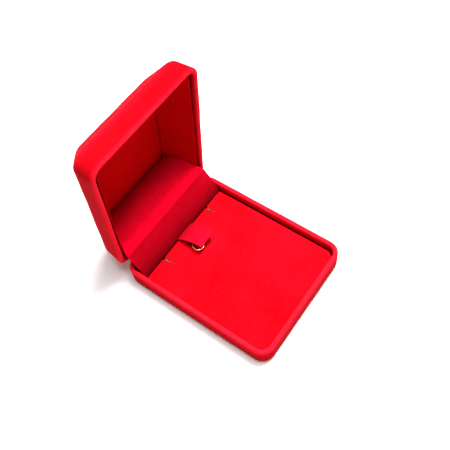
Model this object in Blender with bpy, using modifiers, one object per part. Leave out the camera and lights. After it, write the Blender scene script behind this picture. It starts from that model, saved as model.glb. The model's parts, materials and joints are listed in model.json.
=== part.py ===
"""Velvet pendant box, standing open on its base.

Metres, +Z up. The origin is the centre of the flat underside. X runs along the hinge,
-Y is the front of the box and the hinge is at +Y. Lid pieces are laid out as if the box
were closed, measured from the hinge axis, and are turned open by their parent empty.
"""

import math

import bmesh
import bpy
from mathutils import Matrix, Vector

MM = 0.001

# Outline shared by base and lid, in millimetres.
WIDTH = 70.0
DEPTH = 87.0
CORNER_RADIUS = 7.0
CORNER_STEPS = 5
CLEARANCE = 0.2

# Base.
PANEL_INSET = 1.6
PANEL_THICKNESS = 0.6
COVER_THICKNESS = 0.5
COVER_BOTTOM = 0.8
RIM_HEIGHT = 12.1
RIM_WIDTH = 2.6
LIP_BOTTOM = 7.0
SHELL_WALL = 1.2
SHELL_FLOOR = 1.5
SHELL_TOP = 10.8

# Pad.
PAD_HALF_WIDTH = 31.5
PAD_FRONT = -40.0
PAD_BACK = 31.7
PAD_TOP = 8.2
PAD_BOTTOM = 3.0
PAD_FRONT_RADIUS = 3.6
PAD_BACK_RADIUS = 0.8
PAD_SKIN = 0.5
CARD_LOW = 6.3
CARD_HIGH = 7.5
FOAM_LOW = 2.9
FOAM_HIGH = 6.1
SLIT_TIP_Y = 23.3
SLIT_MOUTH_Y = 33.0
SLIT_MOUTH_WIDTH = 1.3
SLITS = ((-18.4, -17.2), (18.4, 19.7))

# Hinge.
AXIS_Y = 43.8
AXIS_Z = 12.4
OPEN_ANGLE = 83.8
LEAF_HALF_WIDTH = 20.0
LEAF_THICKNESS = 0.6
LEAF_INNER = 6.3
LEAF_OUTER = 1.4
KNUCKLE_RADIUS = 1.05
BORE_RADIUS = 0.55
PIN_RADIUS = 0.5
ROUND_STEPS = 12
BASE_KNUCKLES = ((-20.0, -12.15), (-3.85, 3.85), (12.15, 20.0))
LID_KNUCKLES = ((-11.85, -4.15), (4.15, 11.85))
BASE_RIVET_X = 16.0
LID_RIVET_X = 8.0
RIVET_BACK = 4.5
RIVET_SHANK = 0.75
RIVET_HOLE = 0.95
RIVET_LENGTH = 3.6
LEDGE_HALF_WIDTH = 22.0
NOTCH_HALF_WIDTH = 22.5

# Lid, measured from the hinge axis: z up from the rim plane, y back to front negative.
LID_BACK = -0.3
LID_TOP = 22.4
LID_BACK_RADIUS = 4.5
LID_SHELL = 0.8
LINING_THICKNESS = 0.4
LINING_FOOT = 1.0
LINING_HEAD = 19.0
LINING_FOOT_X = 30.2
LINING_HEAD_X = 24.0
FRONT_FOOT_Y = -84.0
FRONT_HEAD_Y = -73.4
CEILING_LOW = 19.2
CEILING_HALF_WIDTH = 23.6
CEILING_BACK = -8.4
CEILING_FRONT = -72.8

# Height above the rim plane, then the inset of the sides, the front and the back.
LID_WALL = (
    (1.3, 0.0, 0.0, 0.0),
    (6.5, 0.5, 0.6, 0.6),
    (10.6, 0.95, 1.1, 1.1),
    (11.6, 1.3, 1.5, 1.3),
    (12.6, 2.2, 2.7, 1.85),
    (20.4, 9.35, 12.1, 6.1),
    (21.6, 10.9, 13.9, 7.4),
    (22.2, 13.2, 16.4, 9.6),
    (LID_TOP, 16.0, 19.4, 12.4),
)

LID_SHELL_RIM = (1.9, 0.1, 0.1, 0.1)

# Folded strip over the hinge: y, z and half width of each station.
HINGE_STRIP_BASE = ((32.5, 7.9, 31.9), (35.2, 12.6, 31.9), (38.2, 16.9, 31.9), (40.7, 20.1, 31.9))
HINGE_STRIP_LID = (
    (-8.5, -1.8, 31.4),
    (-10.7, 1.2, 29.7),
    (-13.0, 4.8, 28.5),
    (-14.2, 8.8, 27.1),
    (-14.2, 12.7, 25.8),
    (-13.0, 16.9, 24.4),
    (-12.3, 18.7, 23.7),
)
STRIP_THICKNESS = 0.5

# Strap tab: one band folded under at its tip, as y and z of its middle line.
TAB_LEFT = -5.2
TAB_RIGHT = 5.9
TAB_THICKNESS = 0.6
TAB_PROFILE = (
    (31.4, 9.0),
    (29.0, 10.8),
    (26.0, 12.4),
    (22.8, 13.7),
    (19.8, 14.35),
    (18.0, 14.4),
    (16.9, 14.15),
    (16.5, 13.6),
    (17.2, 13.0),
    (20.0, 11.7),
    (23.5, 9.9),
    (26.0, 8.95),
)
TAB_AXIS = (0.0, 32.0, 8.6)
RING_CENTRE = (-3.4, 19.3, 11.75)
RING_RADIUS = 3.05
WIRE_RADIUS = 0.3

VELVET = ("velvet_red", (0.62, 0.006, 0.022), 0.95, 0.0)
PAD_VELVET = ("velvet_pad", (0.74, 0.008, 0.02), 0.95, 0.0)
LINING = ("lining_red", (0.46, 0.004, 0.012), 0.95, 0.0)
FELT = ("underside_felt", (0.3, 0.01, 0.02), 1.0, 0.0)
PLASTIC = ("shell_plastic", (0.2, 0.008, 0.014), 0.55, 0.0)
CARD = ("grey_card", (0.4, 0.32, 0.26), 0.9, 0.0)
FOAM = ("pad_foam", (0.8, 0.76, 0.66), 1.0, 0.0)
STEEL = ("hinge_steel", (0.6, 0.6, 0.58), 0.35, 1.0)
BRASS = ("ring_brass", (0.8, 0.6, 0.27), 0.3, 1.0)


def clear_scene():
    for found in list(bpy.data.objects):
        bpy.data.objects.remove(found)


def collection(name, hidden=False):
    made = bpy.data.collections.new(name)
    bpy.context.scene.collection.children.link(made)
    made.hide_render = hidden
    return made


def material(slot):
    name, colour, roughness, metallic = slot
    found = bpy.data.materials.get(name)
    if found:
        return found
    made = bpy.data.materials.new(name)
    made.use_nodes = True
    shader = made.node_tree.nodes["Principled BSDF"]
    shader.inputs["Base Color"].default_value = (*colour, 1.0)
    shader.inputs["Roughness"].default_value = roughness
    shader.inputs["Metallic"].default_value = metallic
    made.diffuse_color = (*colour, 1.0)
    return made


def add_piece(name, data, slot, parent=None, smooth=False):
    """Links the data as a visible piece with its own material."""
    piece = bpy.data.objects.new(name, data)
    BOX.objects.link(piece)
    data.materials.append(material(slot))
    piece.parent = parent
    if smooth:
        data.shade_smooth()
    return piece


def rounded_outline(left, right, front, back, front_radius, back_radius):
    """Counter-clockwise points of a rectangle with round corners."""
    corners = (
        (right - front_radius, front + front_radius, front_radius, -90),
        (right - back_radius, back - back_radius, back_radius, 0),
        (left + back_radius, back - back_radius, back_radius, 90),
        (left + front_radius, front + front_radius, front_radius, 180),
    )
    points = []
    for x, y, radius, start in corners:
        for step in range(CORNER_STEPS + 1):
            angle = math.radians(start + 90 * step / CORNER_STEPS)
            points.append((x + radius * math.cos(angle), y + radius * math.sin(angle)))
    return points


def box_ring(z, side, front, back, centre_y=0.0, back_radius=CORNER_RADIUS):
    """One level of the box: the common outline drawn in by three insets."""
    taper = 0.3 * side
    outline = rounded_outline(
        -WIDTH / 2 + side,
        WIDTH / 2 - side,
        centre_y - DEPTH / 2 + front,
        centre_y + DEPTH / 2 - back,
        max(CORNER_RADIUS - taper, 3.0),
        max(back_radius - taper, 2.0),
    )
    return [(x, y, z) for x, y in outline]


def even_ring(z, inset, centre_y=0.0, back_radius=CORNER_RADIUS):
    """One level of the box whose corners stay concentric with the outline."""
    outline = rounded_outline(
        -WIDTH / 2 + inset,
        WIDTH / 2 - inset,
        centre_y - DEPTH / 2 + inset,
        centre_y + DEPTH / 2 - inset,
        CORNER_RADIUS - inset,
        back_radius - inset,
    )
    return [(x, y, z) for x, y in outline]


def loft_mesh(name, rings, cap_first=False, cap_last=False):
    """A surface through stacked rings of equal count, open unless an end is capped."""
    mesh = bpy.data.meshes.new(name)
    build = bmesh.new()
    levels = []
    for ring in rings:
        levels.append([build.verts.new(Vector(point) * MM) for point in ring])
    count = len(rings[0])
    for low, high in zip(levels, levels[1:]):
        for i in range(count):
            j = (i + 1) % count
            build.faces.new((low[i], low[j], high[j], high[i]))
    if cap_first:
        build.faces.new(list(reversed(levels[0])))
    if cap_last:
        build.faces.new(levels[-1])
    build.to_mesh(mesh)
    build.free()
    return mesh


def thicken(piece, outer, inner):
    """Solidify between two depths below the surface, both in millimetres."""
    thickness = inner - outer
    solidify = piece.modifiers.new("wall", "SOLIDIFY")
    solidify.thickness = thickness * MM
    solidify.offset = -1.0 - 2.0 * outer / thickness
    solidify.use_even_offset = True
    return piece


def flat_curve(name, splines, half_thickness):
    """Filled 2D outlines, extruded to both sides of their plane."""
    curve = bpy.data.curves.new(name, "CURVE")
    curve.dimensions = "2D"
    curve.fill_mode = "BOTH"
    curve.extrude = half_thickness * MM
    curve.render_resolution_u = 0
    for outline in splines:
        spline = curve.splines.new("POLY")
        spline.points.add(len(outline) - 1)
        for point, (x, y) in zip(spline.points, outline):
            point.co = (x * MM, y * MM, 0.0, 1.0)
        spline.use_cyclic_u = True
    return curve


def closed_mesh(name, curve):
    """The mesh of a filled curve, with its caps welded to its sides."""
    helper = bpy.data.objects.new(name, curve)
    BOX.objects.link(helper)
    graph = bpy.context.evaluated_depsgraph_get()
    mesh = bpy.data.meshes.new_from_object(helper.evaluated_get(graph))
    bpy.data.objects.remove(helper)
    build = bmesh.new()
    build.from_mesh(mesh)
    bmesh.ops.remove_doubles(build, verts=build.verts, dist=0.001 * MM)
    bmesh.ops.recalc_face_normals(build, faces=build.faces)
    build.to_mesh(mesh)
    build.free()
    mesh.name = name
    mesh.materials.clear()
    return mesh


def plate(name, outline, low, high, slot, parent=None):
    """A level plate with vertical edges."""
    mesh = closed_mesh(name, flat_curve(name, [outline], (high - low) / 2))
    piece = add_piece(name, mesh, slot, parent)
    piece.location.z = (low + high) / 2 * MM
    return piece


def leaning_plate(name, outline, thickness, origin, along, up, side, slot, parent):
    """A plate in the plane of two directions, its material on one side of that plane."""
    mesh = closed_mesh(name, flat_curve(name, [outline], thickness / 2))
    piece = add_piece(name, mesh, slot, parent)
    along = Vector(along).normalized()
    up = Vector(up).normalized()
    normal = along.cross(up)
    turn = Matrix((along, up, normal)).transposed().to_4x4()
    centre = Vector(origin) + normal * side * thickness / 2
    piece.matrix_local = Matrix.Translation(centre * MM) @ turn
    return piece


def box_mesh(name, low, high):
    mesh = bpy.data.meshes.new(name)
    build = bmesh.new()
    bmesh.ops.create_cube(build, size=1.0)
    middle = (Vector(low) + Vector(high)) / 2
    for vertex in build.verts:
        size = Vector(high) - Vector(low)
        offset = Vector(a * b for a, b in zip(vertex.co, size))
        vertex.co = (middle + offset) * MM
    build.to_mesh(mesh)
    build.free()
    return mesh


def cylinder_mesh(name, radius, length):
    mesh = bpy.data.meshes.new(name)
    build = bmesh.new()
    bmesh.ops.create_cone(
        build,
        cap_ends=True,
        segments=ROUND_STEPS,
        radius1=radius * MM,
        radius2=radius * MM,
        depth=length * MM,
    )
    build.to_mesh(mesh)
    build.free()
    return mesh


def combine(piece, operation, name, mesh, place=None, parent=None):
    """Boolean of the piece with a helper solid kept in the hidden collection."""
    helper = bpy.data.objects.new(name, mesh)
    CUTTERS.objects.link(helper)
    helper.hide_render = True
    helper.display_type = "WIRE"
    helper.parent = parent
    helper.matrix_local = place or Matrix.Identity(4)
    boolean = piece.modifiers.new(name, "BOOLEAN")
    boolean.operation = operation
    boolean.object = helper
    boolean.solver = "EXACT"


def bent_sheet(name, stations, thickness, slot, parent=None):
    """A sheet through stations of y, z and half width, thickened about its middle."""
    mesh = bpy.data.meshes.new(name)
    build = bmesh.new()
    rows = []
    for y, z, half in stations:
        ends = (Vector((-half, y, z)), Vector((half, y, z)))
        rows.append([build.verts.new(end * MM) for end in ends])
    for near, far in zip(rows, rows[1:]):
        build.faces.new((near[0], near[1], far[1], far[0]))
    build.to_mesh(mesh)
    build.free()
    piece = add_piece(name, mesh, slot, parent)
    return thicken(piece, -thickness / 2, thickness / 2)


def ribbon(name, profile, left, right, thickness, slot, parent):
    """A band that follows a profile in the y-z plane, made as an extruded open curve."""
    curve = bpy.data.curves.new(name, "CURVE")
    curve.dimensions = "2D"
    curve.fill_mode = "NONE"
    curve.extrude = (right - left) / 2 * MM
    curve.render_resolution_u = 0
    spline = curve.splines.new("POLY")
    spline.points.add(len(profile) - 1)
    for point, (y, z) in zip(spline.points, profile):
        point.co = (y * MM, z * MM, 0.0, 1.0)
    helper = bpy.data.objects.new(name, curve)
    BOX.objects.link(helper)
    graph = bpy.context.evaluated_depsgraph_get()
    mesh = bpy.data.meshes.new_from_object(helper.evaluated_get(graph))
    bpy.data.objects.remove(helper)
    mesh.transform(PROFILE_TURN)
    mesh.transform(Matrix.Translation(Vector(((left + right) / 2, 0, 0)) * MM))
    mesh.materials.clear()
    piece = add_piece(name, mesh, slot, parent)
    return thicken(piece, -thickness / 2, thickness / 2)


def rolled_rim(height_sign, rim_plane, steps=6):
    """Insets and heights over the half-round rim, from the outer wall to the inner lip."""
    radius = RIM_WIDTH / 2
    path = []
    for step in range(steps + 1):
        angle = math.pi * step / steps
        inset = radius - radius * math.cos(angle)
        drop = radius - radius * math.sin(angle)
        path.append((inset, rim_plane - height_sign * drop))
    return path


def make_base():
    outline = rounded_outline(
        -WIDTH / 2 + PANEL_INSET,
        WIDTH / 2 - PANEL_INSET,
        -DEPTH / 2 + PANEL_INSET,
        DEPTH / 2 - PANEL_INSET,
        CORNER_RADIUS - PANEL_INSET,
        CORNER_RADIUS - PANEL_INSET,
    )
    plate("base_underside_panel", outline, 0.0, PANEL_THICKNESS, FELT)

    path = [(5.8, COVER_BOTTOM), (1.5, COVER_BOTTOM), (0.75, 0.95), (0.25, 1.35), (0.0, 2.0)]
    path += rolled_rim(1, RIM_HEIGHT)
    path.append((RIM_WIDTH, LIP_BOTTOM))
    rings = [even_ring(z, inset) for inset, z in path]
    cover = add_piece("base_velvet_cover", loft_mesh("base_velvet_cover", rings), VELVET)
    thicken(cover, 0.0, COVER_THICKNESS)
    back = DEPTH / 2
    combine(
        cover,
        "DIFFERENCE",
        "base_hinge_notch",
        box_mesh("base_hinge_notch", (-NOTCH_HALF_WIDTH, 38, 10.95), (NOTCH_HALF_WIDTH, 45, 13)),
    )
    combine(
        cover,
        "DIFFERENCE",
        "base_lip_notch",
        box_mesh(
            "base_lip_notch",
            (-NOTCH_HALF_WIDTH, 38, LIP_BOTTOM - 1),
            (NOTCH_HALF_WIDTH, back - 1.3, 11.3),
        ),
    )

    inset = COVER_THICKNESS + CLEARANCE
    wall = [(inset + 0.8, SHELL_FLOOR), (inset, SHELL_FLOOR + 0.8), (inset, SHELL_TOP)]
    rings = [even_ring(z, depth) for depth, z in wall]
    mesh = loft_mesh("base_shell", rings, cap_first=True)
    shell = add_piece("base_shell", mesh, PLASTIC)
    thicken(shell, 0.0, SHELL_WALL)
    ledge = box_mesh(
        "base_ledge", (-LEDGE_HALF_WIDTH, 36, SHELL_FLOOR + 0.5), (LEDGE_HALF_WIDTH, 42, SHELL_TOP)
    )
    combine(shell, "UNION", "base_ledge", ledge)
    for side in (-1, 1):
        name = f"base_ledge_hole_{side}"
        place = Matrix.Translation(Vector((side * BASE_RIVET_X, AXIS_Y - RIVET_BACK, 9.0)) * MM)
        combine(shell, "DIFFERENCE", name, cylinder_mesh(name, RIVET_HOLE, 8.0), place)


def pad_outline(inset):
    return rounded_outline(
        -PAD_HALF_WIDTH + inset,
        PAD_HALF_WIDTH - inset,
        PAD_FRONT + inset,
        PAD_BACK - inset,
        PAD_FRONT_RADIUS - inset,
        max(PAD_BACK_RADIUS - inset, 0.2),
    )


def cut_slits(piece, suffix):
    half = SLIT_MOUTH_WIDTH / 2
    for number, (mouth_x, tip_x) in enumerate(SLITS):
        name = f"slit_{number}_{suffix}"
        outline = [
            (mouth_x - half, SLIT_MOUTH_Y),
            (tip_x, SLIT_TIP_Y),
            (mouth_x + half, SLIT_MOUTH_Y),
        ]
        mesh = closed_mesh(name, flat_curve(name, [outline], 1.4))
        place = Matrix.Translation(Vector((0, 0, PAD_TOP - 1.0)) * MM)
        combine(piece, "DIFFERENCE", name, mesh, place)


def make_pad():
    skin_gap = PAD_SKIN + CLEARANCE
    plate("pad_foam", pad_outline(skin_gap), FOAM_LOW, FOAM_HIGH, FOAM)
    card = plate("pad_card", pad_outline(skin_gap), CARD_LOW, CARD_HIGH, CARD)
    levels = ((0.0, PAD_BOTTOM), (0.0, 7.5), (0.15, 7.9), (0.55, PAD_TOP))
    rings = [[(x, y, z) for x, y in pad_outline(inset)] for inset, z in levels]
    mesh = loft_mesh("pad_velvet", rings, cap_last=True)
    velvet = add_piece("pad_velvet", mesh, PAD_VELVET)
    thicken(velvet, 0.0, PAD_SKIN)
    cut_slits(card, "card")
    cut_slits(velvet, "velvet")


def knuckle_outline(sign):
    """Curl of a leaf round the pin with its tongue, as y and z from the axis."""
    low = -sign * KNUCKLE_RADIUS
    inner = low + sign * LEAF_THICKNESS
    outline = [(-LEAF_OUTER - 0.6, low), (0.0, low)]
    turn = 270.0 - math.degrees(math.acos(-inner * sign / KNUCKLE_RADIUS))
    for step in range(1, ROUND_STEPS):
        angle = math.radians(-90 + turn * step / (ROUND_STEPS - 1))
        outline.append((KNUCKLE_RADIUS * math.cos(angle), sign * KNUCKLE_RADIUS * math.sin(angle)))
    outline.append((-LEAF_OUTER - 0.6, inner))
    return outline


def bore_outline():
    radius = BORE_RADIUS / math.cos(math.pi / ROUND_STEPS)
    angles = [2 * math.pi * step / ROUND_STEPS for step in range(ROUND_STEPS)]
    return [(radius * math.cos(angle), radius * math.sin(angle)) for angle in angles]


def make_leaf(name, sign, knuckles, rivet_x, origin, parent):
    """A hinge leaf: a flat plate with one curl per knuckle and two rivet holes."""
    low = -KNUCKLE_RADIUS if sign > 0 else KNUCKLE_RADIUS - LEAF_THICKNESS
    high = low + LEAF_THICKNESS
    mesh = box_mesh(name, (-LEAF_HALF_WIDTH, -LEAF_INNER, low), (LEAF_HALF_WIDTH, -LEAF_OUTER, high))
    leaf = add_piece(name, mesh, STEEL, parent)
    leaf.location = Vector(origin) * MM
    place = Matrix.Translation(Vector(origin) * MM)
    for number, (start, end) in enumerate(knuckles):
        helper = f"{name}_knuckle_{number}"
        curve = flat_curve(helper, [knuckle_outline(sign), bore_outline()], (end - start) / 2)
        mesh = closed_mesh(helper, curve)
        mesh.transform(PROFILE_TURN)
        middle = Matrix.Translation(Vector(((start + end) / 2, 0, 0)) * MM)
        combine(leaf, "UNION", helper, mesh, place @ middle, parent)
    for side in (-1, 1):
        helper = f"{name}_hole_{side}"
        hole = Matrix.Translation(Vector((side * rivet_x, -RIVET_BACK, 0)) * MM)
        mesh = cylinder_mesh(helper, RIVET_HOLE, 6.0)
        combine(leaf, "DIFFERENCE", helper, mesh, place @ hole, parent)


def make_rivet(name, location, flipped, parent=None):
    """A domed rivet turned about its own axis, head up unless flipped."""
    profile = (
        (0.0, 0.5),
        (0.8, 0.42),
        (1.3, 0.2),
        (1.4, 0.0),
        (RIVET_SHANK, 0.0),
        (RIVET_SHANK, -RIVET_LENGTH),
        (0.0, -RIVET_LENGTH),
    )
    mesh = bpy.data.meshes.new(name)
    points = [Vector((radius, 0, z)) * MM for radius, z in profile]
    edges = [(i, i + 1) for i in range(len(profile) - 1)]
    mesh.from_pydata(points, edges, [])
    rivet = add_piece(name, mesh, STEEL, parent)
    screw = rivet.modifiers.new("turned", "SCREW")
    screw.steps = ROUND_STEPS
    screw.render_steps = ROUND_STEPS
    screw.use_merge_vertices = True
    screw.merge_threshold = 0.00001
    rivet.location = Vector(location) * MM
    rivet.rotation_euler.x = math.pi if flipped else 0.0


def make_hinge(lid):
    origin = (0, AXIS_Y, AXIS_Z)
    make_leaf("hinge_leaf_base", 1, BASE_KNUCKLES, BASE_RIVET_X, origin, None)
    make_leaf("hinge_leaf_lid", -1, LID_KNUCKLES, LID_RIVET_X, (0, 0, 0), lid)
    length = 2 * LEAF_HALF_WIDTH + 0.8
    mesh = cylinder_mesh("hinge_pin", PIN_RADIUS, length)
    pin = add_piece("hinge_pin", mesh, STEEL, smooth=True)
    pin.location = Vector((0, AXIS_Y, AXIS_Z)) * MM
    pin.rotation_euler.y = math.pi / 2
    leaf_face = AXIS_Z - KNUCKLE_RADIUS + LEAF_THICKNESS + 0.05
    lid_face = KNUCKLE_RADIUS - LEAF_THICKNESS - 0.05
    for word, side in (("left", -1), ("right", 1)):
        where = (side * BASE_RIVET_X, AXIS_Y - RIVET_BACK, leaf_face)
        make_rivet(f"base_rivet_{word}", where, False)
        where = (side * LID_RIVET_X, -RIVET_BACK, lid_face)
        make_rivet(f"lid_rivet_{word}", where, True, lid)


def lid_rings(rows):
    centre = LID_BACK - DEPTH / 2
    return [box_ring(*row, centre_y=centre, back_radius=LID_BACK_RADIUS) for row in rows]


def make_lid(lid):
    centre = LID_BACK - DEPTH / 2
    rim = [(2.6, 3.0)] + list(reversed(rolled_rim(-1, 0.0)))[:-1]
    rings = [even_ring(z, inset, centre, LID_BACK_RADIUS) for inset, z in rim]
    rings += lid_rings(LID_WALL)
    mesh = loft_mesh("lid_velvet_cover", rings, cap_last=True)
    cover = add_piece("lid_velvet_cover", mesh, VELVET, lid)
    thicken(cover, 0.0, COVER_THICKNESS)
    notches = (
        ("lid_hinge_notch", (-NOTCH_HALF_WIDTH, -5, -1), (NOTCH_HALF_WIDTH, 1, 1.25)),
        ("lid_lip_notch", (-NOTCH_HALF_WIDTH, -5, 0.9), (NOTCH_HALF_WIDTH, -1.6, 3.4)),
    )
    for name, low, high in notches:
        combine(cover, "DIFFERENCE", name, box_mesh(name, low, high), parent=lid)

    mesh = loft_mesh("lid_shell", lid_rings((LID_SHELL_RIM,) + LID_WALL[1:]), cap_last=True)
    shell = add_piece("lid_shell", mesh, PLASTIC, lid)
    outer = COVER_THICKNESS + CLEARANCE
    thicken(shell, outer, outer + LID_SHELL)
    ledge = box_mesh("lid_ledge", (-LEDGE_HALF_WIDTH, -7.2, 1.5), (LEDGE_HALF_WIDTH, -1.6, 4.5))
    combine(shell, "UNION", "lid_ledge", ledge, parent=lid)
    for side in (-1, 1):
        name = f"lid_ledge_hole_{side}"
        place = Matrix.Translation(Vector((side * LID_RIVET_X, -RIVET_BACK, 2.0)) * MM)
        mesh = cylinder_mesh(name, RIVET_HOLE, 8.0)
        combine(shell, "DIFFERENCE", name, mesh, place, lid)


def make_linings(lid):
    lean = LINING_FOOT_X - LINING_HEAD_X
    rise = CEILING_LOW - LINING_FOOT
    slant = math.hypot(lean, rise) * (LINING_HEAD - LINING_FOOT) / rise
    outline = [(-83.0, 0.0), (-9.5, 0.0), (-8.8, slant), (-72.9, slant)]
    for word, side in (("left", -1), ("right", 1)):
        leaning_plate(
            f"lid_lining_{word}",
            outline,
            LINING_THICKNESS,
            (side * LINING_FOOT_X, 0, LINING_FOOT),
            (0, 1, 0),
            (-side * lean, 0, rise),
            side,
            LINING,
            lid,
        )
    run = FRONT_HEAD_Y - FRONT_FOOT_Y
    slant = math.hypot(run, rise) * (LINING_HEAD - LINING_FOOT) / rise
    outline = [(-28.2, 0.0), (28.2, 0.0), (23.4, slant), (-23.4, slant)]
    leaning_plate(
        "lid_lining_front",
        outline,
        LINING_THICKNESS,
        (0, FRONT_FOOT_Y, LINING_FOOT),
        (1, 0, 0),
        (0, run, rise),
        1,
        LINING,
        lid,
    )
    half = CEILING_HALF_WIDTH
    outline = rounded_outline(-half, half, CEILING_FRONT, CEILING_BACK, 1.0, 1.0)
    top = CEILING_LOW + LINING_THICKNESS
    plate("lid_top_lining", outline, CEILING_LOW, top, LINING, lid)
    low = top + CLEARANCE
    front, back = CEILING_FRONT + 3.0, CEILING_BACK - 1.6
    outline = rounded_outline(-half + 1.6, half - 1.6, front, back, 4.0, 4.0)
    plate("lid_top_card", outline, low, low + 0.6, CARD, lid)


def make_tab():
    pivot = bpy.data.objects.new("tab_pivot", None)
    BOX.objects.link(pivot)
    pivot.location = Vector(TAB_AXIS) * MM
    local = [(y - TAB_AXIS[1], z - TAB_AXIS[2]) for y, z in TAB_PROFILE]
    strap = ribbon("strap_tab", local, TAB_LEFT, TAB_RIGHT, TAB_THICKNESS, PAD_VELVET, pivot)
    ring_x = RING_CENTRE[0] + RING_RADIUS
    hole = box_mesh("strap_hole", (ring_x - 1.6, 17.8, 10.2), (ring_x + 0.9, 21.9, 13.2))
    shift = Matrix.Translation(-Vector(TAB_AXIS) * MM)
    combine(strap, "DIFFERENCE", "strap_hole", hole, shift, pivot)
    plate(
        "strap_anchor",
        [(TAB_LEFT, 31.9), (TAB_RIGHT, 31.9), (TAB_RIGHT, 32.3), (TAB_LEFT, 32.3)],
        3.2,
        7.4,
        PAD_VELVET,
    )
    bpy.ops.mesh.primitive_torus_add(
        major_radius=RING_RADIUS * MM,
        minor_radius=WIRE_RADIUS * MM,
        major_segments=24,
        minor_segments=8,
    )
    ring = bpy.context.object
    ring.name = "tab_ring"
    ring.data.shade_smooth()
    ring.data.materials.append(material(BRASS))
    for owner in list(ring.users_collection):
        owner.objects.unlink(ring)
    BOX.objects.link(ring)
    ring.parent = pivot
    ring.location = (Vector(RING_CENTRE) - Vector(TAB_AXIS)) * MM


def make_hinge_cover(lid):
    bent_sheet("hinge_cover_base_panel", HINGE_STRIP_BASE, STRIP_THICKNESS, VELVET)
    bent_sheet("hinge_cover_lid_panel", HINGE_STRIP_LID, STRIP_THICKNESS, VELVET, lid)


# Turns a profile drawn in X and Y to stand in the y-z plane, with its normal along X.
PROFILE_TURN = Matrix(((0, 0, 1, 0), (1, 0, 0, 0), (0, 1, 0, 0), (0, 0, 0, 1)))

clear_scene()
BOX = collection("velvet_pendant_box")
CUTTERS = collection("cutters", hidden=True)
lid_pivot = bpy.data.objects.new("lid_pivot", None)
BOX.objects.link(lid_pivot)
lid_pivot.location = Vector((0, AXIS_Y, AXIS_Z)) * MM
lid_pivot.rotation_euler.x = math.radians(-OPEN_ANGLE)

make_base()
make_pad()
make_hinge(lid_pivot)
make_lid(lid_pivot)
make_linings(lid_pivot)
make_hinge_cover(lid_pivot)
make_tab()
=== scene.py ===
"""Looks of the velvet pendant box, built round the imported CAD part.

Lengths inside are millimetres unless a name says otherwise; MM turns them into metres.
"""

import json
import math

import bmesh
import bpy
from mathutils import Euler, Matrix, Vector, noise


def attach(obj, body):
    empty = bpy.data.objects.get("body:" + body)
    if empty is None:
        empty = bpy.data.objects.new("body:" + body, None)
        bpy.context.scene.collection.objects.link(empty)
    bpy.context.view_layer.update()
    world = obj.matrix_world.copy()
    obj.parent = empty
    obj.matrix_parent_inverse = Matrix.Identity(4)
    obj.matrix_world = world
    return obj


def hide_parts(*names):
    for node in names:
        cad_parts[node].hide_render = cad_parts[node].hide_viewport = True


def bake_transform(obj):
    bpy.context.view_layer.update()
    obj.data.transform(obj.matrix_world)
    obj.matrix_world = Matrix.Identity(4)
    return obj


MM = 0.001

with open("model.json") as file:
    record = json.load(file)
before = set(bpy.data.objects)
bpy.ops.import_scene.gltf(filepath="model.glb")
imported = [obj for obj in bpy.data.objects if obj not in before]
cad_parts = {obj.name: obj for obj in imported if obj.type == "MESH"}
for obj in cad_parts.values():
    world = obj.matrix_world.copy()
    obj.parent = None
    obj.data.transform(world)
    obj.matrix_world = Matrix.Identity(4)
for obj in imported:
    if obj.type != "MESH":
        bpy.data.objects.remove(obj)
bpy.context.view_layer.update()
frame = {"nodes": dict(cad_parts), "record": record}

# Camera: where it looks, from which side, and how far away it stands.
AIM = (18.68, 19.50, 0.0)
CAMERA_AZIMUTH = -45.76
CAMERA_ELEVATION = 58.91
CAMERA_ROLL = -10.03
CAMERA_DISTANCE = 337.0
LENS = 49.51
SENSOR_WIDTH = 36.0

# Outline and rim shared by base and lid. SKIN is the thickness of the cloth wrapped over them.
CORNER_RADIUS = 7.0
RIM_WIDTH = 2.6
SKIN = 0.5
CORNER_STEPS = 12
RIM_STEPS = 10
LONG_STEPS = 26
SHORT_STEPS = 20
LIP_DEPTH_BASE = 5.1
LIP_DEPTH_LID = 3.0
NOTCH_HALF_WIDTH = 22.5

# How sheet edges are rounded, which edges shade as sharp, and the fine part of the cloth's waver.
BEVEL_SEGMENTS = 2
BEVEL_ANGLE = 40
SHARP_ANGLE = 50
FINE_SHARE = 0.35
FINE_SCALE = 4.3

JOINTS = {joint["name"]: joint for joint in frame["record"]["behaviour"]["joints"]}
HINGE = Vector(JOINTS["lid_hinge"]["pos_m"])
OPEN_ANGLE = math.radians(JOINTS["lid_hinge"]["range_deg"][1])
LID_FRAME = Matrix.Translation(HINGE) @ Matrix.Rotation(-OPEN_ANGLE, 4, "X")


# ---------------------------------------------------------------- frame helpers


def local_box(node, matrix=None):
    """Lowest and highest corner of a CAD node in millimetres, in the given frame."""
    back = (matrix or Matrix.Identity(4)).inverted()
    points = [back @ vertex.co for vertex in frame["nodes"][node].data.vertices]
    low = Vector(min(p[i] for p in points) for i in range(3)) / MM
    high = Vector(max(p[i] for p in points) for i in range(3)) / MM
    return low, high


def link(name, mesh):
    piece = bpy.data.objects.new(name, mesh)
    bpy.context.scene.collection.objects.link(piece)
    return piece


def baked(piece):
    """Replaces a piece's mesh by its evaluated one and drops the modifiers."""
    graph = bpy.context.evaluated_depsgraph_get()
    mesh = bpy.data.meshes.new_from_object(piece.evaluated_get(graph))
    mesh.name = piece.name
    piece.modifiers.clear()
    piece.data = mesh
    return piece


# ---------------------------------------------------------------- mesh helpers


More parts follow.
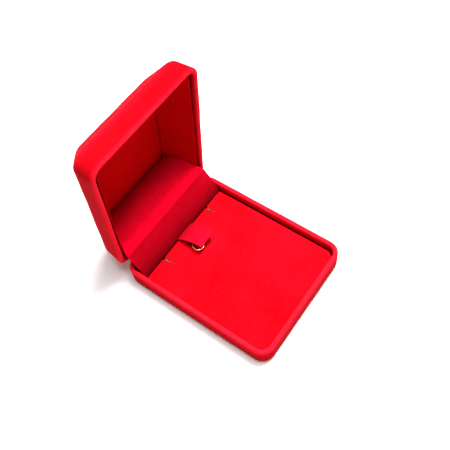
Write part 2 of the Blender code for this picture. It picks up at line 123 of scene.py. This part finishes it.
def outline(left, right, front, back, radius, back_radius=None):
    """Counter-clockwise rounded rectangle whose points match from ring to ring."""
    rear = radius if back_radius is None else back_radius
    corners = (
        (right - radius, front + radius, -90, LONG_STEPS, radius),
        (right - rear, back - rear, 0, SHORT_STEPS, rear),
        (left + rear, back - rear, 90, LONG_STEPS, rear),
        (left + radius, front + radius, 180, SHORT_STEPS, radius),
    )
    arcs = []
    for x, y, start, _, bend in corners:
        arc = []
        for step in range(CORNER_STEPS + 1):
            angle = math.radians(start + 90 * step / CORNER_STEPS)
            arc.append((x + bend * math.cos(angle), y + bend * math.sin(angle)))
        arcs.append(arc)
    points = []
    for number, (arc, corner) in enumerate(zip(arcs, corners)):
        points += arc
        end, start = arc[-1], arcs[(number + 1) % 4][0]
        steps = corner[3]
        for step in range(1, steps):
            share = step / steps
            points.append(
                (end[0] + (start[0] - end[0]) * share, end[1] + (start[1] - end[1]) * share)
            )
    return points


def loft(name, rings, cap_first=False, cap_last=False):
    """A skin over rings of equally many points."""
    mesh = bpy.data.meshes.new(name)
    build = bmesh.new()
    levels = [[build.verts.new(Vector(point) * MM) for point in ring] for ring in rings]
    count = len(rings[0])
    for low, high in zip(levels, levels[1:]):
        for i in range(count):
            j = (i + 1) % count
            build.faces.new((low[i], low[j], high[j], high[i]))
    if cap_first:
        build.faces.new(list(reversed(levels[0])))
    if cap_last:
        build.faces.new(levels[-1])
    build.to_mesh(mesh)
    build.free()
    return link(name, mesh)


def grid(name, rows):
    """An open sheet through rows of points of equal length."""
    mesh = bpy.data.meshes.new(name)
    build = bmesh.new()
    made = [[build.verts.new(Vector(point) * MM) for point in row] for row in rows]
    for near, far in zip(made, made[1:]):
        for i in range(len(near) - 1):
            build.faces.new((near[i], near[i + 1], far[i + 1], far[i]))
    build.to_mesh(mesh)
    build.free()
    return link(name, mesh)


def solidify(piece, thickness, offset=-1.0):
    wall = piece.modifiers.new("wall", "SOLIDIFY")
    wall.thickness = thickness * MM
    wall.offset = offset
    wall.use_even_offset = True
    return piece


def soften(piece, width):
    bevel = piece.modifiers.new("soft_edges", "BEVEL")
    bevel.width = width * MM
    bevel.segments = BEVEL_SEGMENTS
    bevel.limit_method = "ANGLE"
    bevel.angle_limit = math.radians(BEVEL_ANGLE)
    return piece


def carve(piece, boxes, matrix=None):
    """Cuts boxes, given by two corners, out of the piece and leaves no cutter behind."""
    for number, (low, high) in enumerate(boxes):
        mesh = bpy.data.meshes.new("cutter")
        build = bmesh.new()
        bmesh.ops.create_cube(build, size=1.0)
        size = Vector(high) - Vector(low)
        middle = (Vector(high) + Vector(low)) / 2
        for vertex in build.verts:
            offset = Vector(a * b for a, b in zip(vertex.co, size))
            vertex.co = (middle + offset) * MM
        build.to_mesh(mesh)
        build.free()
        cutter = link(f"cutter_{number}", mesh)
        if matrix is not None:
            cutter.matrix_world = matrix
        cut_with(piece, cutter)
    return piece


def cut_with(piece, cutter):
    cut = piece.modifiers.new("cut", "BOOLEAN")
    cut.operation = "DIFFERENCE"
    cut.solver = "EXACT"
    cut.object = cutter
    bpy.context.view_layer.update()
    baked(piece)
    bpy.data.objects.remove(cutter)


def waver(piece, amplitude, wavelength, seed):
    """Moves points a little along their normals, as hand-wrapped cloth does."""
    mesh = piece.data
    normals = [vertex.normal.copy() for vertex in mesh.vertices]
    for vertex, normal in zip(mesh.vertices, normals):
        spot = vertex.co / (wavelength * MM) + Vector((seed, 2.7 * seed, -seed))
        shift = noise.noise(spot) + FINE_SHARE * noise.noise(spot * FINE_SCALE)
        vertex.co += normal * shift * amplitude * MM
    mesh.update()
    return piece


def smooth(piece):
    piece.data.shade_smooth()
    piece.data.set_sharp_from_angle(angle=math.radians(SHARP_ANGLE))
    return piece


def half_round(start, end):
    """Insets and heights over a half-round rim, outer wall first."""
    radius = RIM_WIDTH / 2
    path = []
    for step in range(RIM_STEPS + 1):
        turn = math.pi * step / RIM_STEPS
        path.append(
            (radius - radius * math.cos(turn), start + (end - start) * math.sin(turn))
        )
    return path


def smoothed(rows, rounds):
    """Corner cutting on rows of numbers, the two ends kept."""
    for _ in range(rounds):
        cut = [rows[0]]
        for a, b in zip(rows, rows[1:]):
            cut.append(tuple(0.75 * p + 0.25 * q for p, q in zip(a, b)))
            cut.append(tuple(0.25 * p + 0.75 * q for p, q in zip(a, b)))
        rows = cut + [rows[-1]]
    return rows


# ---------------------------------------------------------------- materials


def nodes_of(name):
    made = bpy.data.materials.new(name)
    made.use_nodes = True
    tree = made.node_tree
    return made, tree, tree.nodes["Principled BSDF"]


def noise_node(tree, source, scale, detail=2.0, roughness=0.5):
    made = tree.nodes.new("ShaderNodeTexNoise")
    made.inputs["Scale"].default_value = scale
    made.inputs["Detail"].default_value = detail
    made.inputs["Roughness"].default_value = roughness
    tree.links.new(source, made.inputs["Vector"])
    return made.outputs["Fac"]


def range_node(tree, value, low, high, from_low=0.3, from_high=0.7):
    made = tree.nodes.new("ShaderNodeMapRange")
    made.inputs["From Min"].default_value = from_low
    made.inputs["From Max"].default_value = from_high
    made.inputs["To Min"].default_value = low
    made.inputs["To Max"].default_value = high
    tree.links.new(value, made.inputs["Value"])
    return made.outputs["Result"]


def math_node(tree, operation, first, second):
    made = tree.nodes.new("ShaderNodeMath")
    made.operation = operation
    for socket, value in zip(made.inputs, (first, second)):
        if isinstance(value, (int, float)):
            socket.default_value = value
        else:
            tree.links.new(value, socket)
    return made.outputs[0]


def mix_colour(tree, share, first, second):
    made = tree.nodes.new("ShaderNodeMix")
    made.data_type = "RGBA"
    tree.links.new(share, made.inputs["Factor"])
    for name, colour in (("A", first), ("B", second)):
        socket = [s for s in made.inputs if s.name == name and s.type == "RGBA"][0]
        if isinstance(colour, tuple):
            socket.default_value = (*colour, 1.0)
        else:
            tree.links.new(colour, socket)
    return [s for s in made.outputs if s.type == "RGBA"][0]


def bump_chain(tree, shader, layers):
    """Bump layers of (height, strength, distance in millimetres), one after another."""
    normal = None
    for height, strength, distance in layers:
        made = tree.nodes.new("ShaderNodeBump")
        made.inputs["Strength"].default_value = strength
        made.inputs["Distance"].default_value = distance * MM
        tree.links.new(height, made.inputs["Height"])
        if normal is not None:
            tree.links.new(normal, made.inputs["Normal"])
        normal = made.outputs["Normal"]
    tree.links.new(normal, shader.inputs["Normal"])


def velvet(name, dark, light, sheen, sheen_tint, nap_and_painted_light=1.0, brushed=1.0, painted_shade_colour=None):
    """Flocked velvet: short pile with speckle, brushed patches and a soft sheen.

    With a painted shade colour given, a vertex attribute of painted light and shade blends from that
    colour to the pile's own.
    """
    made, tree, shader = nodes_of(name)
    coords = tree.nodes.new("ShaderNodeTexCoord").outputs["Object"]
    pile = noise_node(tree, coords, 2600.0, 3.0, 0.65)
    clumps = noise_node(tree, coords, 620.0, 2.0, 0.6)
    patches = noise_node(tree, coords, 55.0, 3.0, 0.55)
    speckle = range_node(tree, pile, -0.5, 0.5)
    tufts = range_node(tree, clumps, -0.3, 0.3)
    brush = range_node(tree, patches, -0.35 * brushed, 0.35 * brushed)
    share = math_node(tree, "ADD", math_node(tree, "ADD", speckle, tufts), brush)
    share = range_node(tree, share, 0.0, 1.0, -0.9, 0.9)
    colour = mix_colour(tree, share, dark, light)
    # Painted light and shade: a vertex attribute blends the painted shade colour into the pile's colour.
    if painted_shade_colour:
        level = tree.nodes.new("ShaderNodeAttribute")
        level.attribute_name = "nap_and_painted_light"
        colour = mix_colour(tree, level.outputs["Fac"], painted_shade_colour, colour)
    tree.links.new(colour, shader.inputs["Base Color"])
    rough = range_node(tree, pile, 0.85, 1.0)
    tree.links.new(rough, shader.inputs["Roughness"])
    shader.inputs["Specular IOR Level"].default_value = 0.015
    shader.inputs["Sheen Weight"].default_value = sheen
    shader.inputs["Sheen Roughness"].default_value = 0.38
    shader.inputs["Sheen Tint"].default_value = (*sheen_tint, 1.0)
    bump_chain(tree, shader, ((clumps, 0.35 * nap_and_painted_light, 0.25), (pile, 0.5 * nap_and_painted_light, 0.12)))
    made.diffuse_color = (*light, 1.0)
    return made


def plain(name, dark, light, roughness, metallic, scale, depth, specular=0.5):
    """Card, foam, plastic and metal: two near colours, grain and uneven roughness."""
    made, tree, shader = nodes_of(name)
    coords = tree.nodes.new("ShaderNodeTexCoord").outputs["Object"]
    grain = noise_node(tree, coords, scale, 4.0, 0.6)
    wear = noise_node(tree, coords, 90.0, 3.0, 0.6)
    share = range_node(tree, math_node(tree, "ADD", grain, wear), 0.0, 1.0, 0.7, 1.3)
    tree.links.new(mix_colour(tree, share, dark, light), shader.inputs["Base Color"])
    rough = range_node(tree, wear, roughness * 0.8, min(roughness * 1.2, 1.0))
    tree.links.new(rough, shader.inputs["Roughness"])
    shader.inputs["Metallic"].default_value = metallic
    shader.inputs["Specular IOR Level"].default_value = specular
    bump_chain(tree, shader, ((grain, 0.4, depth),))
    made.diffuse_color = (*light, 1.0)
    return made


OUTER = velvet(
    "outer_velvet",
    (0.62, 0.0030, 0.012),
    (0.95, 0.0170, 0.040),
    0.05,
    (1.0, 0.12, 0.20),
    # Painted shade colour, mixed in on the walls of base and lid.
    painted_shade_colour=(0.42, 0.0001, 0.0030),
)
STRIP = velvet(
    "strip_velvet",
    (0.66, 0.0008, 0.012),
    (0.99, 0.0018, 0.028),
    0.12,
    (1.0, 0.14, 0.20),
    # Painted shade colour, mixed in towards the pad's back edge.
    painted_shade_colour=(0.085, 0.0002, 0.0008),
)
PAD = velvet(
    "pad_velvet_look", (0.40, 0.0000, 0.0015), (0.76, 0.0028, 0.012), 0.01, (1.0, 0.12, 0.18), 1.2, 1.4
)
STRAP = velvet(
    "strap_velvet",
    (0.46, 0.0012, 0.010),
    (0.86, 0.0040, 0.030),
    0.10,
    (1.0, 0.20, 0.26),
    # Painted shade colour, for the layer under the upper one.
    painted_shade_colour=(0.07, 0.0001, 0.0005),
)
INNER = velvet(
    "lining_velvet", (0.33, 0.0, 0.0002), (0.50, 0.0001, 0.0012), 0.005, (1.0, 0.10, 0.12), 0.7, 0.7
)
FELT = velvet("underside_felt_look", (0.16, 0.004, 0.008), (0.26, 0.008, 0.014), 0.1, (1.0, 0.4, 0.4))
PLASTIC = plain("shell_plastic_look", (0.15, 0.004, 0.008), (0.22, 0.008, 0.014), 0.5, 0.0, 900, 0.02)
CARD = plain("card_look", (0.30, 0.21, 0.15), (0.47, 0.36, 0.28), 0.9, 0.0, 1400, 0.06, 0.2)
FOAM = plain("foam_look", (0.66, 0.62, 0.52), (0.86, 0.82, 0.72), 1.0, 0.0, 1100, 0.15, 0.1)
STEEL = plain("steel_look", (0.42, 0.42, 0.41), (0.66, 0.66, 0.64), 0.36, 1.0, 1500, 0.01)
GOLD = plain("gold_wire_look", (0.72, 0.48, 0.18), (0.95, 0.76, 0.40), 0.24, 1.0, 1800, 0.01)

CAD_LOOKS = {
    "underside_felt": FELT,
    "shell_plastic": PLASTIC,
    "grey_card": CARD,
    "pad_foam": FOAM,
    "hinge_steel": STEEL,
    "ring_brass": GOLD,
    "velvet_red": OUTER,
    "velvet_pad": PAD,
    "lining_red": INNER,
}


def wear(piece, look, slot, body=None):
    piece.data.materials.clear()
    piece.data.materials.append(look)
    if body:
        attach(piece, body)
    return piece


# ---------------------------------------------------------------- camera first


def make_camera():
    data = bpy.data.cameras.new("camera")
    data.lens = LENS
    data.sensor_width = SENSOR_WIDTH
    camera = link("camera", data)
    a, e = math.radians(CAMERA_AZIMUTH), math.radians(CAMERA_ELEVATION)
    back = Vector((math.sin(a) * math.cos(e), -math.cos(a) * math.cos(e), math.sin(e)))
    camera.location = (Vector(AIM) + back * CAMERA_DISTANCE) * MM
    level = back.to_track_quat("Z", "Y")
    camera.rotation_mode = "QUATERNION"
    camera.rotation_quaternion = level @ Euler((0, 0, math.radians(CAMERA_ROLL))).to_quaternion()
    data.clip_start = 0.01
    data.clip_end = 10.0
    bpy.context.scene.camera = camera


# ---------------------------------------------------------------- base


def base_ring(low, high, z, inset):
    radius = max(CORNER_RADIUS - inset, 0.6)
    points = outline(low.x + inset, high.x - inset, low.y + inset, high.y - inset, radius)
    return [(x, y, z) for x, y in points]


def make_base_cover():
    low, high = local_box("base_velvet_cover")
    radius = RIM_WIDTH / 2
    foot = low.z
    path = [(5.8, foot), (3.5, foot), (2.0, foot), (1.3, foot + 0.08)]
    path += [(0.8, foot + 0.26), (0.4, foot + 0.6), (0.12, foot + 1.05), (0.0, foot + 1.6)]
    wall_top = high.z - radius
    for step in range(1, 6):
        path.append((0.0, foot + 1.6 + (wall_top - foot - 1.6) * step / 6))
    path += half_round(wall_top, high.z)
    lip = high.z - LIP_DEPTH_BASE
    path += [(RIM_WIDTH, wall_top - 1.3), (RIM_WIDTH, wall_top - 2.6), (RIM_WIDTH, lip)]
    rings = [base_ring(low, high, z, inset) for inset, z in path]
    cover = loft("base_cover", rings)
    waver(cover, 0.10, 9.0, 3.1)
    baked(solidify(cover, SKIN))
    back = high.y
    carve(
        cover,
        (
            ((-NOTCH_HALF_WIDTH, back - 5.5, high.z - 1.15), (NOTCH_HALF_WIDTH, back + 2, high.z + 1)),
            ((-NOTCH_HALF_WIDTH, back - 5.5, lip - 1), (NOTCH_HALF_WIDTH, back - 1.3, high.z - 0.8)),
        ),
    )
    smooth(cover)
    # Painted light by height: the rim's top keeps the pile's colour as a painted highlight, the walls
    # below fade into the painted shade colour.
    shade_by(cover, ((8.5, 0.0), (10.6, 0.3), (11.4, 0.85), (12.1, 1.0)), "z")
    wear(cover, OUTER, "velvet_red", "base")
    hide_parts("base_velvet_cover")


PAD_EDGE = ((0.0, 1.6), (0.02, 1.1), (0.12, 0.72), (0.34, 0.42), (0.7, 0.2), (1.2, 0.08), (2.0, 0.0))
PAD_SNUG = 0.33
PAD_INSETS = (3.0, 4.5, 6.5, 9.0, 12.0, 15.5, 19.5, 24.0, 28.0, 30.3)


def make_pad():
    low, high = local_box("pad_velvet")
    rows = [(0.0, low.z), (0.0, low.z + 1.6)]
    rows += [(inset, high.z - drop) for inset, drop in PAD_EDGE]
    rows += [(inset, high.z) for inset in PAD_INSETS]
    rings = []
    for inset, z in rows:
        radius, rear = max(3.6 - 0.4 * inset, 0.5), max(0.9 - 0.2 * inset, 0.3)
        left, right = low.x - PAD_SNUG + inset, high.x - inset
        points = outline(left, right, low.y - PAD_SNUG + inset, high.y - inset, radius, rear)
        rings.append([(x, y, z) for x, y in points])
    pad = loft("pad_top", rings, cap_last=True)
    waver(pad, 0.04, 14.0, 7.4)
    baked(solidify(pad, SKIN))
    for mouth_x, tip_x, tip_y in ((-18.4, -17.2, 23.3), (18.4, 19.7, 23.2)):
        cut_slit(pad, mouth_x, tip_x, tip_y, high)
    smooth(pad)
    wear(pad, PAD, "velvet_pad", "base")
    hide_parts("pad_velvet")


def cut_slit(pad, mouth_x, tip_x, tip_y, high):
    """A wedge open at the pad's back edge, slanting to its tip."""
    half = 0.8
    far = high.y + 0.6
    corners = ((mouth_x - half, far), (tip_x - 0.05, tip_y), (tip_x + 0.05, tip_y), (mouth_x + half, far))
    rings = [[(x, y, z) for x, y in corners] for z in (high.z - 2.2, high.z + 1)]
    cutter = loft("slit_cutter", rings, cap_first=True, cap_last=True)
    build = bmesh.new()
    build.from_mesh(cutter.data)
    bmesh.ops.recalc_face_normals(build, faces=build.faces)
    build.to_mesh(cutter.data)
    build.free()
    cut_with(pad, cutter)


# ---------------------------------------------------------------- lid


LID_BACK_RADIUS = 4.5
# Painted light and shade on the lid, by height from its rim: a painted highlight on the rim and on the
# turn from wall to top, painted shade on the walls and top.
LID_PAINTED_LIGHT = (
    (0.0, 0.9),
    (0.7, 0.6),
    (1.8, 0.12),
    (8.0, 0.12),
    (11.2, 0.4),
    (12.4, 0.75),
    (14.0, 0.3),
    (22.0, 0.2),
)
# Height, then how far the side, front and back walls stand in.
LID_ROWS = (
    (6.5, 0.5, 0.6, 0.6),
    (10.2, 0.9, 1.05, 1.05),
    (11.7, 1.35, 1.6, 1.35),
    (13.0, 2.5, 3.1, 2.1),
    (19.8, 8.8, 11.3, 5.8),
    (21.4, 10.6, 13.6, 7.2),
    (22.2, 13.0, 16.2, 9.4),
    (22.4, 16.0, 19.4, 12.4),
)
LID_TOP_INSETS = (3.0, 7.0, 11.0, 14.0, 16.0)
LINING_THICKNESS = 0.4


def lid_ring(low, high, z, side, front, back, taper):
    radius, rear = max(CORNER_RADIUS - taper, 2.0), max(LID_BACK_RADIUS - taper, 1.2)
    points = outline(
        low.x + side, high.x - side, low.y + front, high.y - back, radius, rear
    )
    return [tuple((LID_FRAME @ (Vector((x, y, z)) * MM)) / MM) for x, y in points]


def make_lid_cover():
    low, high = local_box("lid_velvet_cover", LID_FRAME)
    radius = RIM_WIDTH / 2
    rim = [(RIM_WIDTH, LIP_DEPTH_LID), (RIM_WIDTH, 2.2)]
    rim += [(inset, z) for inset, z in reversed(half_round(radius, 0.0))]
    rings = [lid_ring(low, high, z, inset, inset, inset, inset) for inset, z in rim]
    rows = smoothed([(radius, 0.0, 0.0, 0.0)] + list(LID_ROWS), 2)[1:]
    rings += [lid_ring(low, high, *row, 0.3 * row[1]) for row in rows]
    top, side, front, back = rows[-1]
    for further in LID_TOP_INSETS:
        ring = (top, side + further, front + further, back + further, 0.3 * side + further)
        rings.append(lid_ring(low, high, *ring))
    cover = loft("lid_cover", rings, cap_last=True)
    waver(cover, 0.12, 10.0, 5.9)
    baked(solidify(cover, SKIN))
    carve(
        cover,
        (
            ((-NOTCH_HALF_WIDTH, -5.5, -1), (NOTCH_HALF_WIDTH, 1.5, 1.25)),
            ((-NOTCH_HALF_WIDTH, -5.5, 0.9), (NOTCH_HALF_WIDTH, -1.6, 3.6)),
        ),
        LID_FRAME,
    )
    smooth(cover)
    shade_by(cover, LID_PAINTED_LIGHT, "z", LID_FRAME)
    wear(cover, OUTER, "velvet_red", "lid")
    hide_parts("lid_velvet_cover")


def panel(name, node, corners, steps=(24, 16), swell=0.35):
    """A lining panel through four lid-frame corners, slightly swollen in the middle."""
    a, b, c, d = (Vector(corner) for corner in corners)
    normal = (b - a).cross(d - a).normalized()
    rows = []
    for i in range(steps[1] + 1):
        t = i / steps[1]
        row = []
        for j in range(steps[0] + 1):
            s = j / steps[0]
            point = (a * (1 - s) + b * s) * (1 - t) + (d * (1 - s) + c * s) * t
            lift = swell * min(1.0, 6 * s * (1 - s)) * min(1.0, 6 * t * (1 - t))
            row.append(tuple(LID_FRAME @ ((point + normal * lift) * MM) / MM))
        rows.append(row)
    piece = grid(name, rows)
    waver(piece, 0.08, 11.0, len(name))
    baked(soften(solidify(piece, LINING_THICKNESS), LINING_THICKNESS * 0.35))
    smooth(piece)
    wear(piece, INNER, "lining_red", "lid")
    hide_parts(node)


# How far the foot of each side lining leans out at its front and back end.
FOOT_SHIFTS = {-1: (1.25, 1.35), 1: (-0.6, 0.7)}


def make_linings():
    low, high = local_box("lid_lining_right", LID_FRAME)
    front_low, front_high = local_box("lid_lining_front", LID_FRAME)
    top_low, top_high = local_box("lid_top_lining", LID_FRAME)
    foot, head = low.z, high.z
    for word, side in (("left", -1), ("right", 1)):
        foot_x, head_x = side * (high.x - 0.4), side * (low.x + 0.05)
        front_shift, back_shift = FOOT_SHIFTS[side]
        corners = [
            (foot_x + front_shift * side, low.y + 0.2, foot),
            (foot_x + back_shift * side, high.y, foot),
            (head_x, high.y + 0.6, head),
            (head_x, low.y + 10.2, head),
        ]
        if side < 0:
            corners = [corners[1], corners[0], corners[3], corners[2]]
        panel(f"lining_{word}", f"lid_lining_{word}", corners)
    corners = (
        (-28.2, front_low.y + 0.35, foot),
        (28.2, front_low.y + 0.35, foot),
        (23.4, front_high.y - 0.1, head),
        (-23.4, front_high.y - 0.1, head),
    )
    panel("lining_front", "lid_lining_front", corners[::-1])
    corners = (
        (top_low.x - 0.3, top_low.y, top_low.z),
        (top_low.x - 0.3, top_high.y, top_low.z),
        (top_high.x + 0.3, top_high.y, top_low.z),
        (top_high.x + 0.3, top_low.y, top_low.z),
    )
    panel("lining_top", "lid_top_lining", corners, steps=(26, 26), swell=0.3)


# ---------------------------------------------------------------- hinge cover


# Places along the strip's middle line, as y, z and half width.
STRIP_HALF = 31.9
STRIP_COLUMNS = 56
STRIP_THICKNESS = 0.5
STRIP_STATIONS = (
    (32.35, 7.3, STRIP_HALF),
    (32.9, 9.0, STRIP_HALF),
    (34.8, 12.4, STRIP_HALF),
    (37.6, 16.3, STRIP_HALF),
    (39.5, 18.7, STRIP_HALF),
)
STRIP_CREASE = ((40.3, 20.0, STRIP_HALF), (40.85, 21.0, 31.8), (41.6, 21.4, 31.6))
STRIP_LID_STATIONS = (
    (42.8, 21.9, 31.2),
    (45.0, 23.3, 29.9),
    (48.0, 25.5, 28.5),
    (51.5, 27.3, 27.4),
    (55.2, 27.7, 26.1),
    (59.2, 26.9, 24.6),
    (61.2, 26.4, 23.8),
)


def strip_stations():
    """The strip's middle line from the pad's back edge into the lid, as y, z, half width."""
    return smoothed(list(STRIP_STATIONS + STRIP_CREASE + STRIP_LID_STATIONS), 3)


def along(stops, place):
    """The value between stops given as place and value, held level outside them."""
    level = stops[0][1]
    for (near, a), (far, b) in zip(stops, stops[1:]):
        if place >= far:
            level = b
        elif place >= near:
            level = a + (b - a) * (place - near) / (far - near)
    return level


def shade_by(piece, stops, axis="y", matrix=None):
    """Sets a vertex attribute of painted light and shade by place in millimetres; where it is low the
    velvet turns to its painted shade colour.
    """
    shade = piece.data.attributes.new("nap_and_painted_light", "FLOAT", "POINT")
    back = (matrix or Matrix.Identity(4)).inverted()
    for vertex, value in zip(piece.data.vertices, shade.data):
        value.value = along(stops, getattr(back @ vertex.co, axis) / MM)


# Painted light and shade on the strip, by y: painted shade darkening towards the pad's back edge, a
# painted highlight band just past the crease, then darker into the lid.
STRIP_PAINTED_LIGHT = (
    (32.0, 0.06),
    (33.6, 0.20),
    (35.5, 0.33),
    (38.0, 0.42),
    (40.3, 0.50),
    (40.9, 0.95),
    (43.8, 1.0),
    (46.5, 0.74),
    (53.0, 0.66),
    (61.5, 0.50),
)


def make_hinge_cover():
    stations = strip_stations()
    rows = []
    travelled = 0.0
    last = stations[0]
    for y, z, half in stations:
        travelled += math.hypot(y - last[0], z - last[1])
        last = (y, z)
        row = []
        for j in range(STRIP_COLUMNS + 1):
            s = 2 * j / STRIP_COLUMNS - 1
            x = s * half
            ripple = 0.16 * noise.noise(Vector((x / 9, travelled / 5, 1.7)))
            row.append((x, y - ripple * 0.6, z + ripple))
        rows.append(row)
    strip = grid("hinge_cover", rows)
    baked(soften(solidify(strip, STRIP_THICKNESS, 0.0), 0.15))
    smooth(strip)
    shade_by(strip, STRIP_PAINTED_LIGHT)
    wear(strip, STRIP, "velvet_red")
    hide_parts("hinge_cover_base_panel", "hinge_cover_lid_panel")
    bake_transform(strip)


# ---------------------------------------------------------------- strap and ring


# The strap's middle line as y and z: up from behind the pad, over the tip and back underneath.
TAB_PROFILE = (
    (31.7, 8.7),
    (29.3, 10.6),
    (26.2, 12.35),
    (22.9, 13.7),
    (19.9, 14.4),
    (18.0, 14.55),
    (16.9, 14.4),
    (16.2, 13.8),
    (16.6, 13.25),
    (17.6, 12.8),
    (20.0, 11.7),
    (23.5, 9.9),
    (26.0, 8.95),
)
# Painted light on the strap's upper layer, by y: a painted highlight at its front fold, darker towards
# the back.
TAB_PAINTED_LIGHT = ((15.0, 0.75), (16.6, 0.95), (18.2, 1.0), (19.6, 0.72), (26.0, 0.66), (31.5, 0.55))
TAB_LEFT_BACK = -5.7
TAB_LEFT_FRONT = -4.95
TAB_RIGHT = 5.9
TAB_FOOT_Y = 31.7
TAB_TAPER_LENGTH = 14.0
STRAP_COLUMNS = 16
STRAP_THICKNESS = 0.6
STRAP_END_STEPS = 8
STRAP_END_THICKNESS = 0.4


def shade_strap(strap):
    """Painted light on the strap: a painted highlight towards the upper layer's fold, and painted shade
    over the whole layer under it.
    """
    shade_by(strap, TAB_PAINTED_LIGHT)
    upper = sorted(TAB_PROFILE[:7])
    shade = strap.data.attributes["nap_and_painted_light"]
    for vertex, value in zip(strap.data.vertices, shade.data):
        spot = vertex.co / MM
        # Painted shade: points of the layer under the upper one are set dark.
        if spot.z < along(upper, spot.y) - 0.5:
            value.value = 0.15


def make_strap_end():
    """The end of the strap that goes down behind the pad."""
    low, high = local_box("strap_anchor")
    middle = (low.y + high.y) / 2
    rows = []
    for i in range(STRAP_END_STEPS + 1):
        z = high.z + 0.2 + (low.z - high.z - 0.2) * i / STRAP_END_STEPS
        row = []
        for j in range(STRAP_END_STEPS + 1):
            row.append((low.x + (high.x - low.x) * j / STRAP_END_STEPS, middle, z))
        rows.append(row)
    anchor = grid("strap_end", rows)
    baked(soften(solidify(anchor, STRAP_END_THICKNESS, 0.0), 0.12))
    smooth(anchor)
    wear(anchor, PAD, "velvet_pad", "base")
    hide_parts("strap_anchor")
    return anchor


def make_strap():
    stations = smoothed(list(TAB_PROFILE), 2)
    rows = []
    length = 0.0
    last = stations[0]
    for y, z in stations:
        length += math.hypot(y - last[0], z - last[1])
        last = (y, z)
        share = min(1.0, max(0.0, (TAB_FOOT_Y - y) / TAB_TAPER_LENGTH))
        left = TAB_LEFT_BACK + (TAB_LEFT_FRONT - TAB_LEFT_BACK) * share
        row = []
        for j in range(STRAP_COLUMNS + 1):
            s = j / STRAP_COLUMNS
            x = left + (TAB_RIGHT - left) * s
            ripple = noise.noise(Vector((x / 4, length / 4, 3)))
            sag = 0.12 * math.cos(math.pi * (2 * s - 1)) + 0.1 * ripple
            row.append((x, y, z + sag))
        rows.append(row)
    strap = grid("strap", rows)
    baked(soften(solidify(strap, STRAP_THICKNESS, 0.0), 0.18))
    _, ring_high = local_box("tab_ring")
    carve(strap, (((ring_high.x - 2.0, 17.9, 10.2), (ring_high.x + 0.5, 21.9, 13.05)),))
    smooth(strap)
    shade_strap(strap)
    wear(strap, STRAP, "velvet_pad", "tab")
    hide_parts("strap_tab")
    make_strap_end()


def dress_cad_nodes():
    """Better materials on every CAD node. The ring's mesh is also welded and rounded."""
    slots = {row["node"]: row["material_slot"] for row in frame["record"]["subparts"]}
    for name, node in frame["nodes"].items():
        look = CAD_LOOKS[slots[name]]
        node.data.materials.clear()
        node.data.materials.append(look)
    ring = frame["nodes"]["tab_ring"]
    weld = ring.modifiers.new("weld", "WELD")
    weld.merge_threshold = 0.00001
    rounder = ring.modifiers.new("round", "SUBSURF")
    rounder.levels = 1
    rounder.render_levels = 1
    ring.data.shade_smooth()


# ---------------------------------------------------------------- floor and light


def make_floor():
    size = 1.6
    mesh = bpy.data.meshes.new("floor")
    mesh.from_pydata(
        [(-size, -size, 0), (size, -size, 0), (size, size, 0), (-size, size, 0)], [], [(0, 1, 2, 3)]
    )
    floor = link("floor", mesh)
    floor.location.z = -0.00005
    made, tree, shader = nodes_of("floor_look")
    shader.inputs["Base Color"].default_value = (0.93, 0.93, 0.925, 1.0)
    shader.inputs["Roughness"].default_value = 0.9
    shader.inputs["Specular IOR Level"].default_value = 0.1
    mesh.materials.append(made)


def area_light(name, position, power, size):
    data = bpy.data.lights.new(name, "AREA")
    data.shape = "DISK"
    data.size = size
    data.energy = power
    light = link(name, data)
    light.location = position
    aim = Vector((0, 0.01, 0.02)) - Vector(position)
    light.rotation_mode = "QUATERNION"
    light.rotation_quaternion = aim.to_track_quat("-Z", "Y")


def make_light():
    world = bpy.data.worlds.new("studio")
    world.use_nodes = True
    sky = world.node_tree.nodes["Background"]
    sky.inputs["Color"].default_value = (1.0, 0.995, 0.985, 1.0)
    sky.inputs["Strength"].default_value = 0.32
    bpy.context.scene.world = world
    area_light("key", (0.26, -0.02, 0.76), 10.5, 0.34)
    area_light("top", (0.02, -0.10, 0.95), 6.5, 0.5)
    bpy.context.scene.view_settings.view_transform = "Standard"


make_camera()
make_floor()
make_light()
make_base_cover()
make_pad()
make_lid_cover()
make_linings()
make_hinge_cover()
make_strap()
dress_cad_nodes()
